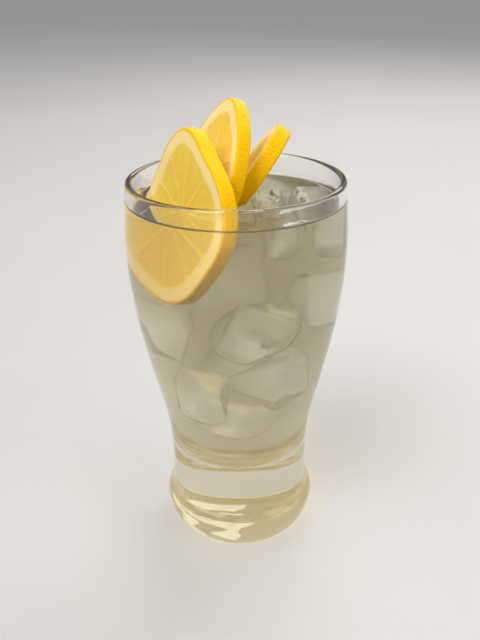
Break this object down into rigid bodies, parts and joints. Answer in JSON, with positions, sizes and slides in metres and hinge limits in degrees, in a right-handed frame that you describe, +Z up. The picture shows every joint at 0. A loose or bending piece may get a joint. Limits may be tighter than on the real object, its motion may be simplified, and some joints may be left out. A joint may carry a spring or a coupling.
{
  "type": "glass of lemon water",
  "caption": "Heavy-footed clear tumbler of cloudy iced lemon water with whole lemon wheels standing in the drink and ice at its surface.",
  "frame": {"origin": "centre of the glass's foot, on the surface that it stands on", "axes": "+Z up along the glass's axis; the lemon wheels fan from the -X side, and -Y faces the viewer"},
  "size_m": [0.0842, 0.0842, 0.1761],
  "materials": {
    "glass": "clear, polished",
    "drink": "cloudy liquid",
    "lemon": "moist fruit, satin rind",
    "ice": "clear, wet"
  },
  "bodies": {
    "root": {"glass": "glass", "drink": "drink", "lemon_slice_front": "lemon", "lemon_slice_middle": "lemon", "lemon_slice_back": "lemon", "ice_left": "ice", "ice_right": "ice"}
  },
  "joints": []
}
